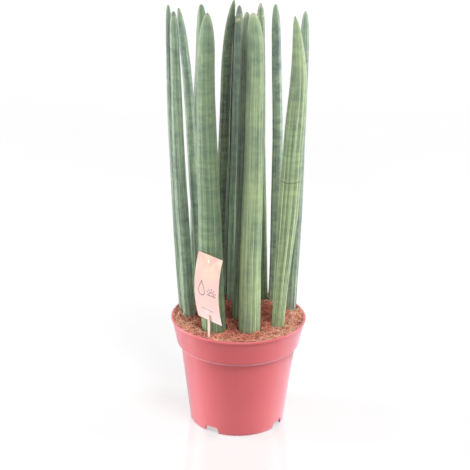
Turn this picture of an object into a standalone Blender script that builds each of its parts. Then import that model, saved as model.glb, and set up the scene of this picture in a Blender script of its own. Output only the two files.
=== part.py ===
"""A cylindrical snake plant in a round plastic pot, with a card on a stick.

Metres, +Z up. The origin is the centre of the pot's foot, on the surface the pot stands on, and
-Y is the front. Fourteen round, ribbed leaves stand by themselves in the soil, as rooted
cuttings do. Every piece is one closed body, and pieces that touch keep a gap of GAP.
"""

import math
from collections import namedtuple

import bmesh
import bpy
from mathutils import Vector

GAP = 0.0003
OVERCUT = 0.004
MM = 0.001
MERGE_DISTANCE = 0.00001
ARC_STEPS = 3
BEVEL_SEGMENTS = 2
SHARP_ANGLE = math.radians(50.0)

# Pot, turned about Z
TURN_STEPS = 64
POT_HEIGHT = 0.140
WALL = 0.0015
RIM_RADIUS = 0.085
LIP_HEIGHT = 0.0028
LIP_ROUNDING = 0.0008
BAND_TOP_RADIUS = 0.0834
BAND_FOOT_RADIUS = 0.0778
BAND_FOOT_Z = 0.109
SHOULDER_ROUNDING = 0.0035
SHOULDER_FILLET = 0.003
SHOULDER_TURN = 60.0
SHOULDER_STEP = 0.0024
FILLET_END = 174.0
FOOT_RADIUS = 0.060
FOOT_WIDTH = 0.0026
FOOT_ROUNDING = 0.0008
FLOOR_UNDERSIDE = 0.0095
FLOOR_TOP = 0.0110

# Notches in the pot's foot, and drain holes behind them
NOTCH_FIRST = -122.0
NOTCH_COUNT = 4
NOTCH_WIDTH = 0.024
NOTCH_TOP_WIDTH = 0.017
NOTCH_HEIGHT = 0.0085
NOTCH_ROUNDING = 0.0012
NOTCH_DEPTH = 0.016
DRAIN_RADIUS = 0.005
DRAIN_REACH = 0.040
DRAIN_SIDES = 16

# Soil, with the turns per metre along x and y of the two waves in its top
SOIL_LEVEL = 0.1355
SOIL_MOUND = 0.002
SOIL_RELIEF = 0.0009
SOIL_RINGS = 6
BROAD_WAVE = (190.0, 160.0)
BROAD_PHASE = 1.3
SLANT_WAVE = (-210.0, 330.0)
SLANT_SHARE = 0.7

# Leaves
BURY = 0.026
ROOT_PULL = 0.065
HOLE_CLEARANCE = 0.0004
HOLE_SIDES = 20
RIB_DEPTH = 0.055
LEAF_DEPTH = 0.95
HOOK_START = 0.75
BODY_STATIONS = (0.0, 0.15, 0.30, 0.45, 0.60, 0.74)
CAP_STATIONS = (0.0, 0.38, 0.62, 0.80, 0.92)

# One leaf in millimetres: its foot (x, y), the tip (x, y, z) of its straight line, its sideways bow
# and how far its top hooks sideways; its diameter at the soil and at its widest, and the height
# fraction of the widest place; the diameter and the height fraction where the tip begins; the
# exponents of its taper, and of how the tip draws in and how pointed it ends; how many ribs it has
# and how far they are turned.
Leaf = namedtuple(
    "Leaf",
    "foot tip bow hook foot_width width belly neck shoulder taper draw point ribs turn",
)

LEAVES = [
    Leaf((-69, 19), (-87.3, 6, 528), -1.3, 0.0, 14.0, 14.6, 0.40, 9.4, 0.86, 2.0, 2.0, 0.42, 10, 5),
    Leaf((-61.5, 0), (-80.2, -10, 523), -2.6, 0.0, 15.6, 16.0, 0.35, 11.6, 0.88, 1.6, 2.0, 0.38, 10, 20),
    Leaf((-45, 21), (-71.5, 26, 521), 0.0, -4.6, 14.4, 13.6, 0.30, 10.8, 0.88, 1.3, 2.0, 0.48, 10, 12),
    Leaf((-52, 48), (-44.5, 50, 522), -6.0, -5.6, 16.0, 16.4, 0.35, 14.0, 0.87, 1.3, 2.0, 0.40, 10, 0),
    Leaf((-30, -40), (-43.9, -40, 527), -1.4, 3.4, 30.4, 29.6, 0.25, 20.4, 0.875, 1.0, 2.0, 0.60, 12, 8),
    Leaf((-27, 60), (-18, 58, 527), 0.0, 7.2, 13.6, 13.6, 0.35, 11.4, 0.875, 1.5, 2.0, 0.55, 10, 25),
    Leaf((-14.5, 71), (-9.5, 72, 505), 0.0, 0.0, 13.0, 13.2, 0.35, 11.6, 0.88, 1.4, 2.0, 0.50, 10, 3),
    Leaf((-8.5, 53), (-4.4, 53, 521), 0.8, 0.0, 15.2, 15.2, 0.35, 12.2, 0.87, 1.5, 2.0, 0.42, 10, 16),
    Leaf((0, -7), (4.5, -7, 523), 1.2, 0.0, 16.4, 16.8, 0.35, 15.0, 0.90, 1.2, 2.0, 0.50, 10, 9),
    Leaf((13, -43), (16.4, -43, 528), 0.0, -5.0, 27.2, 26.0, 0.30, 20.0, 0.88, 1.0, 2.0, 0.38, 12, 0),
    Leaf((31.5, 62), (21.5, 66, 522), -1.8, 0.0, 15.4, 14.6, 0.35, 11.4, 0.90, 1.4, 2.0, 0.42, 10, 22),
    Leaf((45, 53), (39, 54, 523), 3.6, 0.0, 14.0, 13.8, 0.35, 11.6, 0.88, 1.5, 2.0, 0.42, 10, 14),
    Leaf((49, -28), (69.5, -30, 523), 0.0, -10.6, 15.8, 25.2, 0.45, 23.8, 0.655, 1.0, 1.5, 0.55, 12, 6),
    Leaf((67, 28), (74, 31, 519), 1.2, 0.0, 14.6, 14.4, 0.35, 11.4, 0.88, 1.4, 2.0, 0.46, 10, 18),
]

# Card and the stick it is threaded on
STICK_FOOT = Vector((-0.0358, -0.0645))
STICK_RADIUS = 0.0015
STICK_SIDES = 16
STICK_ROUNDING = 0.0004
CARD_CENTRE_Z = 0.2013
CARD_WIDTH = 0.0425
CARD_HEIGHT = 0.084
CARD_THICKNESS = 0.0007
CARD_YAW = 47.0
CARD_BOW = 0.0046
CARD_CURL = 0.04
SLIT_INSET = 0.0070
SLIT_CLEARANCE = 0.00035
TIP_PAST_SLIT = 0.0025
CARD_ROWS = 18
CARD_COLUMNS = 4


def clear_scene():
    for old in list(bpy.data.objects):
        bpy.data.objects.remove(old, do_unlink=True)


def new_collection(name):
    collection = bpy.data.collections.new(name)
    bpy.context.scene.collection.children.link(collection)
    return collection


def make_material(name, colour, roughness):
    material = bpy.data.materials.new(name)
    material.use_nodes = True
    shader = material.node_tree.nodes["Principled BSDF"]
    shader.inputs["Base Color"].default_value = (*colour, 1.0)
    shader.inputs["Roughness"].default_value = roughness
    shader.inputs["Metallic"].default_value = 0.0
    return material


def add_object(name, mesh, collection, material=None):
    obj = bpy.data.objects.new(name, mesh)
    collection.objects.link(obj)
    if material:
        mesh.materials.append(material)
    return obj


def mesh_from(bm, name, smooth=True):
    """Closes a bmesh into a mesh with its faces pointing out."""
    bmesh.ops.recalc_face_normals(bm, faces=bm.faces)
    mesh = bpy.data.meshes.new(name)
    bm.to_mesh(mesh)
    bm.free()
    if smooth:
        mesh.shade_smooth()
    return mesh


def make_cutter(name, mesh, collection):
    cutter = add_object(name, mesh, collection)
    cutter.hide_render = True
    cutter.display_type = "WIRE"
    return cutter


def cut(obj, cutter):
    boolean = obj.modifiers.new("cut_" + cutter.name, "BOOLEAN")
    boolean.operation = "DIFFERENCE"
    boolean.solver = "EXACT"
    boolean.object = cutter


def arc(centre, radius, start, end):
    """Points (r, z) of a circular arc, with its angles in degrees."""
    points = []
    for i in range(ARC_STEPS + 1):
        angle = math.radians(start + (end - start) * i / ARC_STEPS)
        points.append((centre[0] + radius * math.cos(angle), centre[1] + radius * math.sin(angle)))
    return points


def turned(name, profile, collection, material):
    """A profile of (r, z) points turned about Z by a Screw modifier."""
    mesh = bpy.data.meshes.new(name)
    edges = [(i, i + 1) for i in range(len(profile) - 1)]
    mesh.from_pydata([(r, 0.0, z) for r, z in profile], edges, [])
    obj = add_object(name, mesh, collection, material)
    screw = obj.modifiers.new("turn", "SCREW")
    screw.axis = "Z"
    screw.steps = TURN_STEPS
    screw.render_steps = TURN_STEPS
    screw.use_merge_vertices = True
    screw.merge_threshold = MERGE_DISTANCE
    screw.use_smooth_shade = True
    return obj


def applied(obj):
    """The object with its modifiers turned into plain mesh."""
    bpy.context.view_layer.update()
    evaluated = obj.evaluated_get(bpy.context.evaluated_depsgraph_get())
    obj.data = bpy.data.meshes.new_from_object(evaluated)
    obj.modifiers.clear()
    return obj


def shoulder():
    """The pot's outside from the band's foot, in under it, to the top of the body."""
    rounding_centre = (BAND_FOOT_RADIUS - SHOULDER_ROUNDING, BAND_FOOT_Z)
    points = arc(rounding_centre, SHOULDER_ROUNDING, 0.0, -SHOULDER_TURN)
    turn = math.radians(SHOULDER_TURN)
    r, z = points[-1]
    r -= SHOULDER_STEP * math.sin(turn)
    z -= SHOULDER_STEP * math.cos(turn)
    fillet_centre = (r + SHOULDER_FILLET * math.cos(turn), z - SHOULDER_FILLET * math.sin(turn))
    return points + arc(fillet_centre, SHOULDER_FILLET, 180.0 - SHOULDER_TURN, FILLET_END)


def pot_outside():
    """The pot's outside from its lip down to the edge of its foot."""
    lip_side = RIM_RADIUS - LIP_ROUNDING
    lip_foot = POT_HEIGHT - LIP_HEIGHT
    body_radius, body_top = shoulder()[-1]
    slope = (body_radius - FOOT_RADIUS) / body_top
    points = arc((lip_side, POT_HEIGHT - LIP_ROUNDING), LIP_ROUNDING, 90.0, 0.0)
    points += arc((lip_side, lip_foot + LIP_ROUNDING), LIP_ROUNDING, 0.0, -90.0)
    points.append((BAND_TOP_RADIUS, lip_foot - GAP))
    points += shoulder()
    points.append((FOOT_RADIUS + slope * FOOT_ROUNDING, FOOT_ROUNDING))
    points.append((FOOT_RADIUS - FOOT_ROUNDING, 0.0))
    return points


def pot_inside(clearance=0.0):
    """The pot's inside from its floor up to its lip, or a filling's side that clears it."""
    points = [(r - WALL - clearance, z) for r, z in reversed(shoulder())]
    slope = (points[0][0] - (FOOT_RADIUS - WALL - clearance)) / points[0][1]
    floor = FLOOR_TOP + clearance
    points.insert(0, (FOOT_RADIUS - WALL - clearance + slope * floor, floor))
    points.append((BAND_TOP_RADIUS - WALL - clearance, POT_HEIGHT - LIP_HEIGHT))
    return points


def inside_radius(z, clearance):
    """The pot's inner radius at height z."""
    points = pot_inside(clearance)
    for (r0, z0), (r1, z1) in zip(points, points[1:]):
        if z0 <= z <= z1:
            return r0 + (r1 - r0) * (z - z0) / (z1 - z0)
    return points[-1][0]


def make_notch_cutter(name, collection):
    """A block with sloping sides that cuts one notch in the pot's foot."""
    bm = bmesh.new()
    bmesh.ops.create_cube(bm, size=1.0)
    for vertex in bm.verts:
        top = vertex.co.z > 0
        width = NOTCH_TOP_WIDTH if top else NOTCH_WIDTH
        height = NOTCH_HEIGHT if top else -NOTCH_HEIGHT
        vertex.co = Vector((vertex.co.x * NOTCH_DEPTH, vertex.co.y * width, height))
    cutter = make_cutter(name, mesh_from(bm, name, smooth=False), collection)
    bevel = cutter.modifiers.new("round", "BEVEL")
    bevel.width = NOTCH_ROUNDING
    bevel.segments = BEVEL_SEGMENTS
    return cutter


def make_drain_cutter(name, collection):
    bm = bmesh.new()
    height = FLOOR_TOP - FLOOR_UNDERSIDE + 2 * OVERCUT
    bmesh.ops.create_cone(
        bm, cap_ends=True, segments=DRAIN_SIDES, radius1=DRAIN_RADIUS, radius2=DRAIN_RADIUS, depth=height
    )
    return make_cutter(name, mesh_from(bm, name, smooth=False), collection)


def make_pot(collection, cutters):
    inside = pot_inside()
    inner_lip = (BAND_TOP_RADIUS - WALL, POT_HEIGHT - LIP_ROUNDING)
    inner_foot = FOOT_RADIUS - FOOT_WIDTH
    profile = [(0.0, FLOOR_TOP)] + inside + [inner_lip, (inner_lip[0] + LIP_ROUNDING, POT_HEIGHT)]
    profile += pot_outside()
    profile += [(inner_foot, 0.0), (inner_foot + GAP, FLOOR_UNDERSIDE), (0.0, FLOOR_UNDERSIDE)]
    pot = turned("pot", profile, collection, make_material("pot_plastic", (0.60, 0.13, 0.13), 0.42))
    for i in range(NOTCH_COUNT):
        angle = math.radians(NOTCH_FIRST + 360.0 / NOTCH_COUNT * i)
        outward = Vector((math.cos(angle), math.sin(angle), 0.0))
        notch = make_notch_cutter(f"notch_{i + 1}", cutters)
        notch.location = outward * FOOT_RADIUS
        notch.rotation_euler.z = angle
        cut(pot, notch)
        drain = make_drain_cutter(f"drain_{i + 1}", cutters)
        drain.location = outward * DRAIN_REACH + Vector((0.0, 0.0, FLOOR_UNDERSIDE))
        cut(pot, drain)


def soil_height(x, y):
    """The soil's uneven top: a low mound with waves that fade towards the pot's wall."""
    reach = min(1.0, math.hypot(x, y) / inside_radius(SOIL_LEVEL, GAP))
    broad = math.sin(BROAD_WAVE[0] * x + BROAD_PHASE) * math.cos(BROAD_WAVE[1] * y)
    slant = math.sin(SLANT_WAVE[0] * x + SLANT_WAVE[1] * y)
    return SOIL_LEVEL + SOIL_MOUND * (1 - reach**2) + SOIL_RELIEF * (broad + SLANT_SHARE * slant)


def make_soil(collection, material):
    edge = inside_radius(SOIL_LEVEL, GAP)
    side = [point for point in pot_inside(GAP) if point[1] < SOIL_LEVEL]
    top = [(edge * i / SOIL_RINGS, SOIL_LEVEL) for i in range(SOIL_RINGS + 1)]
    profile = top + list(reversed(side)) + [(0.0, side[0][1])]
    soil = applied(turned("soil", profile, collection, material))
    for vertex in soil.data.vertices:
        if vertex.co.z > SOIL_LEVEL - GAP:
            vertex.co.z = soil_height(vertex.co.x, vertex.co.y)
    return soil


def leaf_centre(leaf, s):
    """The leaf's axis at height fraction s, from the soil at 0 to the tip at 1."""
    foot = Vector((*leaf.foot, SOIL_LEVEL / MM)) * MM
    tip = Vector(leaf.tip) * MM
    if s < 0:
        pull = 1 + ROOT_PULL * s * (tip.z - foot.z) / BURY
        return Vector((foot.x * pull, foot.y * pull, foot.z + (tip.z - foot.z) * s))
    centre = foot.lerp(tip, s)
    centre.x += 4 * leaf.bow * MM * s * (1 - s)
    centre.x += leaf.hook * MM * (max(0.0, s - HOOK_START) / (1 - HOOK_START)) ** 2
    return centre


def ease(x):
    return x * x * (3 - 2 * x)


def leaf_radius(leaf, s):
    """The leaf's radius at height fraction s."""
    if s <= 0:
        width = leaf.foot_width
    elif s <= leaf.belly:
        width = leaf.foot_width + (leaf.width - leaf.foot_width) * ease(s / leaf.belly)
    elif s <= leaf.shoulder:
        along = (s - leaf.belly) / (leaf.shoulder - leaf.belly)
        width = leaf.width + (leaf.neck - leaf.width) * along**leaf.taper
    else:
        along = (s - leaf.shoulder) / (1 - leaf.shoulder)
        width = leaf.neck * (1 - along**leaf.draw) ** leaf.point
    return width / 2 * MM


def leaf_stations(leaf):
    """The height fractions of the leaf's rings, closer together towards the tip."""
    length = leaf.tip[2] * MM - SOIL_LEVEL
    stations = [-BURY / length]
    stations += [s for s in BODY_STATIONS if s < leaf.shoulder]
    stations += [leaf.shoulder + (1 - leaf.shoulder) * s for s in CAP_STATIONS]
    return stations


def leaf_mesh(name, leaf):
    """A ribbed taper: rings with a point on each rib and in each groove, lofted up to the tip."""
    sides = 2 * leaf.ribs
    bm = bmesh.new()
    rings = []
    for s in leaf_stations(leaf):
        centre = leaf_centre(leaf, s)
        radius = leaf_radius(leaf, s)
        ribbed = 1.0 if s < leaf.shoulder else (1 - s) / (1 - leaf.shoulder)
        ring = []
        for i in range(sides):
            angle = math.radians(leaf.turn) + math.tau * i / sides
            reach = radius * (1 - RIB_DEPTH * ribbed * (i % 2))
            offset = Vector((math.cos(angle), LEAF_DEPTH * math.sin(angle), 0.0)) * reach
            ring.append(bm.verts.new(centre + offset))
        rings.append(ring)
    tip = bm.verts.new(leaf_centre(leaf, 1.0))
    bm.faces.new(list(reversed(rings[0])))
    for lower, upper in zip(rings, rings[1:]):
        for i in range(sides):
            j = (i + 1) % sides
            bm.faces.new((lower[i], lower[j], upper[j], upper[i]))
    for i in range(sides):
        bm.faces.new((rings[-1][i], rings[-1][(i + 1) % sides], tip))
    return mesh_from(bm, name)


def hole_mesh(name, leaf):
    """The plain round hole in the soil that a leaf stands in."""
    length = leaf.tip[2] * MM - SOIL_LEVEL
    depths = (-(BURY + GAP) / length, 0.0, 2 * OVERCUT / length)
    radius = leaf_radius(leaf, 0.0) + HOLE_CLEARANCE
    bm = bmesh.new()
    rings = []
    for s in depths:
        centre = leaf_centre(leaf, s)
        ring = []
        for i in range(HOLE_SIDES):
            angle = math.tau * i / HOLE_SIDES
            ring.append(bm.verts.new(centre + radius * Vector((math.cos(angle), math.sin(angle), 0.0))))
        rings.append(ring)
    bm.faces.new(list(reversed(rings[0])))
    bm.faces.new(rings[-1])
    for lower, upper in zip(rings, rings[1:]):
        for i in range(HOLE_SIDES):
            j = (i + 1) % HOLE_SIDES
            bm.faces.new((lower[i], lower[j], upper[j], upper[i]))
    return mesh_from(bm, name, smooth=False)


def make_leaves(collection, cutters, soil, material):
    for number, leaf in enumerate(LEAVES, start=1):
        name = f"leaf_{number:02d}"
        add_object(name, leaf_mesh(name, leaf), collection, material)
        cut(soil, make_cutter(name + "_hole", hole_mesh(name + "_hole", leaf), cutters))


def rod(name, radius, bottom, top):
    """A round bar that stands on the stick's axis between two heights."""
    bm = bmesh.new()
    bmesh.ops.create_cone(
        bm, cap_ends=True, segments=STICK_SIDES, radius1=radius, radius2=radius, depth=top - bottom
    )
    middle = Vector((STICK_FOOT.x, STICK_FOOT.y, (top + bottom) / 2))
    bmesh.ops.translate(bm, verts=bm.verts, vec=middle)
    return mesh_from(bm, name)


def slit_reach():
    """How far above and below the card's middle the stick goes through it."""
    return CARD_HEIGHT / 2 - SLIT_INSET


def make_stick(collection, cutters, soil, material):
    bottom = SOIL_LEVEL - BURY
    top = CARD_CENTRE_Z + slit_reach() + TIP_PAST_SLIT
    stick = add_object("tag_stick", rod("tag_stick", STICK_RADIUS, bottom, top), collection, material)
    bevel = stick.modifiers.new("round", "BEVEL")
    bevel.width = STICK_ROUNDING
    bevel.segments = BEVEL_SEGMENTS
    stick.data.set_sharp_from_angle(angle=SHARP_ANGLE)
    hole = rod("stick_hole", STICK_RADIUS + HOLE_CLEARANCE, bottom - GAP, SOIL_LEVEL + 2 * OVERCUT)
    cut(soil, make_cutter("stick_hole", hole, cutters))


def make_card(collection, cutters, material):
    """A card bowed forward between two slits, so that the stick holds it from behind."""
    bm = bmesh.new()
    bmesh.ops.create_grid(bm, x_segments=CARD_COLUMNS, y_segments=CARD_ROWS, size=0.5)
    yaw = math.radians(CARD_YAW)
    along = Vector((math.cos(yaw), -math.sin(yaw), 0.0))
    forward = Vector((-math.sin(yaw), -math.cos(yaw), 0.0))
    middle = Vector((STICK_FOOT.x, STICK_FOOT.y, CARD_CENTRE_Z))
    for vertex in bm.verts:
        across = vertex.co.x * CARD_WIDTH
        up = vertex.co.y * CARD_HEIGHT
        bow = CARD_BOW * (1 - (up / slit_reach()) ** 2) * (1 - CARD_CURL * 2 * vertex.co.x)
        vertex.co = middle + along * across + forward * bow + Vector((0.0, 0.0, up))
    card = add_object("tag_card", mesh_from(bm, "tag_card"), collection, material)
    solidify = card.modifiers.new("thickness", "SOLIDIFY")
    solidify.thickness = CARD_THICKNESS
    solidify.offset = 0.0
    card.data.set_sharp_from_angle(angle=SHARP_ANGLE)
    bottom = CARD_CENTRE_Z - CARD_HEIGHT
    top = CARD_CENTRE_Z + CARD_HEIGHT
    slit = rod("card_slit", STICK_RADIUS + SLIT_CLEARANCE, bottom, top)
    cut(card, make_cutter("card_slit", slit, cutters))


def main():
    clear_scene()
    plant = new_collection("potted_snake_plant")
    cutters = new_collection("cutters")
    make_pot(plant, cutters)
    soil = make_soil(plant, make_material("coir_soil", (0.42, 0.14, 0.06), 0.95))
    make_leaves(plant, cutters, soil, make_material("leaf_skin", (0.16, 0.25, 0.13), 0.5))
    make_stick(plant, cutters, soil, make_material("stick_wood", (0.80, 0.60, 0.40), 0.7))
    make_card(plant, cutters, make_material("tag_board", (0.85, 0.62, 0.55), 0.7))


main()
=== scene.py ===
"""The looks of the potted cylindrical snake plant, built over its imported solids.

Metres, +Z up, -Y is the front; angles are in degrees and colours are linear. The leaves, soil,
pot, card and stick are finer pieces that keep the form and the place of the solids they stand for.
"""

import math
from collections import namedtuple

import bmesh
import bpy
import numpy as np
from mathutils import Matrix, Vector, noise


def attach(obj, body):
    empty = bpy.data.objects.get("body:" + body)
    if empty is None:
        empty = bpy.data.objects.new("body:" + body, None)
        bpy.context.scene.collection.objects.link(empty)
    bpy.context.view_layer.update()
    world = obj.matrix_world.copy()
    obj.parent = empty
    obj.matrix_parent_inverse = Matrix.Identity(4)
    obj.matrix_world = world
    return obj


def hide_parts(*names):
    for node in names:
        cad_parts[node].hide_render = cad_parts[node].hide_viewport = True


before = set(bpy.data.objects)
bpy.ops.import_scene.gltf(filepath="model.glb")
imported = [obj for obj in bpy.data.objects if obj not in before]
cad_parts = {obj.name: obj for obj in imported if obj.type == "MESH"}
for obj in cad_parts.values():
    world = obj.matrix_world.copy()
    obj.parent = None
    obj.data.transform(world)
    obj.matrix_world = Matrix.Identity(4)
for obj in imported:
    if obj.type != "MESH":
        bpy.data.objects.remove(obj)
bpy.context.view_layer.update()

MM = 0.001
GAP = 0.0003
SHARP_ANGLE = math.radians(50.0)

# Stage, lights and camera
STAGE_RADIUS = 9.0
FLOOR_GREY = 0.27
FLOOR_GLOW = 0.54
STAGE_WALL_GREY = 0.9
STAGE_WALL_GLOW = 0.85
WORLD_GLOW = 0.26
Light = namedtuple("Light", "name place target size power")
LIGHTS = [
    Light("key", (0.5, -1.1, 2.05), (0, 0, 0.26), (0.7, 0.7), 34.0),
    Light("front", (-0.6, -1.9, 0.35), (0, 0, 0.16), (1.0, 0.7), 11.0),
    Light("side_left", (-1.3, 0.15, 0.4), (0, 0, 0.22), (0.5, 1.3), 26.0),
    Light("side_right", (1.3, 0.15, 0.4), (0, 0, 0.22), (0.5, 1.3), 22.0),
]
CAMERA_DISTANCE = 1.5
CAMERA_PITCH = 19.8
CAMERA_ROLL = 0.81
CAMERA_TARGET = Vector((-0.0058, 0.0, 0.2471))
CAMERA_LENS = 93.07
SENSOR_WIDTH = 36.0

# Pot, as the solid has it, turned finer
TURN_STEPS = 256
ARC_STEPS = 8
BODY_RINGS = 40
POT_HEIGHT = 0.140
WALL = 0.0015
RIM_RADIUS = 0.085
LIP_HEIGHT = 0.0028
LIP_ROUNDING = 0.0008
BAND_TOP_RADIUS = 0.0834
BAND_FOOT_RADIUS = 0.0778
BAND_FOOT_Z = 0.109
SHOULDER_ROUNDING = 0.0035
SHOULDER_FILLET = 0.003
SHOULDER_TURN = 60.0
SHOULDER_STEP = 0.0024
FILLET_END = 174.0
FOOT_RADIUS = 0.060
FOOT_WIDTH = 0.0026
FOOT_ROUNDING = 0.0008
FLOOR_UNDERSIDE = 0.0095
FLOOR_TOP = 0.0110
NOTCH_FIRST = -122.0
NOTCH_COUNT = 4
NOTCH_WIDTH = 0.024
NOTCH_TOP_WIDTH = 0.017
NOTCH_HEIGHT = 0.0085
NOTCH_ROUNDING = 0.0012
NOTCH_DEPTH = 0.016
DRAIN_RADIUS = 0.005
DRAIN_REACH = 0.040
DRAIN_SIDES = 48
# The plastic's two close tones, its painted floor-bounce light low down, its scuffs and the tint of its sheen
POT_RED = ((0.65, 0.096, 0.106), (0.72, 0.121, 0.132))
POT_BOUNCE_RED = (0.80, 0.142, 0.155)
SCUFF_PINK = (0.74, 0.24, 0.25)
POT_SHEEN = (0.96, 0.84, 1.0, 1.0)

# Soil: the solid's waves, with a loose layer of coir heaped over them
SOIL_LEVEL = 0.1355
SOIL_MOUND = 0.002
SOIL_RELIEF = 0.0009
SOIL_EDGE = 0.0811
BROAD_WAVE = (190.0, 160.0)
BROAD_PHASE = 1.3
SLANT_WAVE = (-210.0, 330.0)
SLANT_SHARE = 0.7
# Each kind of coir in its dark, light and pale tone
COIR_BED = ((0.06, 0.019, 0.014), (0.62, 0.21, 0.135), (0.95, 0.50, 0.34))
COIR_CRUMBS = ((0.05, 0.016, 0.012), (0.72, 0.25, 0.165), (0.98, 0.62, 0.46))
COIR_FIBRES = ((0.20, 0.050, 0.034), (0.98, 0.38, 0.26), (1.0, 0.76, 0.55))
# How the coir is heaped, where its painted shade is centred, and how much of it is strewn over the
# bed and along the pot's lip; sizes in pairs are the least and the most, and LIP_TURN is the middle
# and the spread
COIR_LAYER = 0.0012
COIR_AT_WALL = 0.0022
COIR_LUMPS = 0.0030
BED_RINGS = 64
BED_COLUMNS = 220
SHADE_CENTRE = (-0.003, 0.004)
CRUMB_COUNT = 1500
CRUMB_SIZE = (0.0005, 0.0016)
STRAND_COUNT = 3900
STRAND_POINTS = 8
STRAND_SIDES = 3
STRAND_THICK = (0.00013, 0.00036)
STRAND_LENGTH = (0.004, 0.016)
STRAND_ARCH = 0.0040
LIP_STRANDS = 230
LIP_STRAND_LENGTH = (0.004, 0.012)
LIP_REACH = (0.0785, 0.0844)
LIP_TURN = (-88.0, 38.0)

# One leaf in millimetres, as the solids have it: its foot (x, y), the tip (x, y, z) of its straight
# line, its sideways bow and how far its top hooks sideways; its diameter at the soil and at its
# widest, and the height fraction of the widest place; the diameter and the height fraction where
# the tip begins; the exponents of its taper, and of how the tip draws in and how pointed it ends;
# how many ribs it has and how far they are turned.
LEAF_DEPTH = 0.95
HOOK_START = 0.75
BURY = 0.004
RIB_DEPTH = 0.055
# Slow dents as (share of the radius, wave in mm), how far the skin stays inside the solid as a
# share of the radius, and how far the leaf sways off its line (mm, wave in mm)
LONG_DENT = (0.0070, 23.0)
SHORT_DENT = (0.0049, 9.5)
INSET = 0.012
SWAY = (0.3, 31.0)
Leaf = namedtuple(
    "Leaf",
    "foot tip bow hook foot_width width belly neck shoulder taper draw point ribs turn",
)
LEAVES = [
    Leaf((-69, 19), (-87.3, 6, 528), -1.3, 0.0, 14.0, 14.6, 0.40, 9.4, 0.86, 2.0, 2.0, 0.42, 10, 5),
    Leaf((-61.5, 0), (-80.2, -10, 523), -2.6, 0.0, 15.6, 16.0, 0.35, 11.6, 0.88, 1.6, 2.0, 0.38, 10, 20),
    Leaf((-45, 21), (-71.5, 26, 521), 0.0, -4.6, 14.4, 13.6, 0.30, 10.8, 0.88, 1.3, 2.0, 0.48, 10, 12),
    Leaf((-52, 48), (-44.5, 50, 522), -6.0, -5.6, 16.0, 16.4, 0.35, 14.0, 0.87, 1.3, 2.0, 0.40, 10, 0),
    Leaf((-30, -40), (-43.9, -40, 527), -1.4, 3.4, 30.4, 29.6, 0.25, 20.4, 0.875, 1.0, 2.0, 0.60, 12, 8),
    Leaf((-27, 60), (-18, 58, 527), 0.0, 7.2, 13.6, 13.6, 0.35, 11.4, 0.875, 1.5, 2.0, 0.55, 10, 25),
    Leaf((-14.5, 71), (-9.5, 72, 505), 0.0, 0.0, 13.0, 13.2, 0.35, 11.6, 0.88, 1.4, 2.0, 0.50, 10, 3),
    Leaf((-8.5, 53), (-4.4, 53, 521), 0.8, 0.0, 15.2, 15.2, 0.35, 12.2, 0.87, 1.5, 2.0, 0.42, 10, 16),
    Leaf((0, -7), (4.5, -7, 523), 1.2, 0.0, 16.4, 16.8, 0.35, 15.0, 0.90, 1.2, 2.0, 0.50, 10, 9),
    Leaf((13, -43), (16.4, -43, 528), 0.0, -5.0, 27.2, 26.0, 0.30, 20.0, 0.88, 1.0, 2.0, 0.38, 12, 0),
    Leaf((31.5, 62), (21.5, 66, 522), -1.8, 0.0, 15.4, 14.6, 0.35, 11.4, 0.90, 1.4, 2.0, 0.42, 10, 22),
    Leaf((45, 53), (39, 54, 523), 3.6, 0.0, 14.0, 13.8, 0.35, 11.6, 0.88, 1.5, 2.0, 0.42, 10, 14),
    Leaf((49, -28), (69.5, -30, 523), 0.0, -10.6, 15.8, 25.2, 0.45, 23.8, 0.655, 1.0, 1.5, 0.55, 12, 6),
    Leaf((67, 28), (74, 31, 519), 1.2, 0.0, 14.6, 14.4, 0.35, 11.4, 0.88, 1.4, 2.0, 0.46, 10, 18),
]
AROUND = 144
RINGS = 110
CAP_RINGS = 24

# Finish of each leaf: its light and dark green as linear colours; how strong its cross bands are
# and how close together (bands per 100 mm), how strong its lines are and how deep its grooves, which
# also sets the painted shade in them; how long its tip is dry (mm) and the dry colour; a pale patch
# as (mm below the tip, its half height, strength); and how far below the tip a dark crease runs
# round it (mm, 0 for none).
Skin = namedtuple("Skin", "light dark bands pitch lines ribs dry dry_colour patch crease")
SAGE = ((0.41, 0.52, 0.25), (0.135, 0.205, 0.14))
MOSS = ((0.275, 0.385, 0.18), (0.085, 0.138, 0.10))
BLUE = ((0.31, 0.415, 0.26), (0.075, 0.115, 0.108))
PALE = ((0.43, 0.55, 0.36), (0.115, 0.175, 0.165))
MIST = ((0.44, 0.56, 0.37), (0.105, 0.165, 0.15))
# Painted shade: the next greens are a darkened copy of the others, for the inner leaves that stand in the
# front leaves' shade
SHADED_GREEN = ((0.14, 0.205, 0.095), (0.020, 0.030, 0.025))
SLATE = (0.135, 0.155, 0.145)
UMBER = (0.20, 0.195, 0.165)
PEARL = (0.42, 0.43, 0.42)
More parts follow.
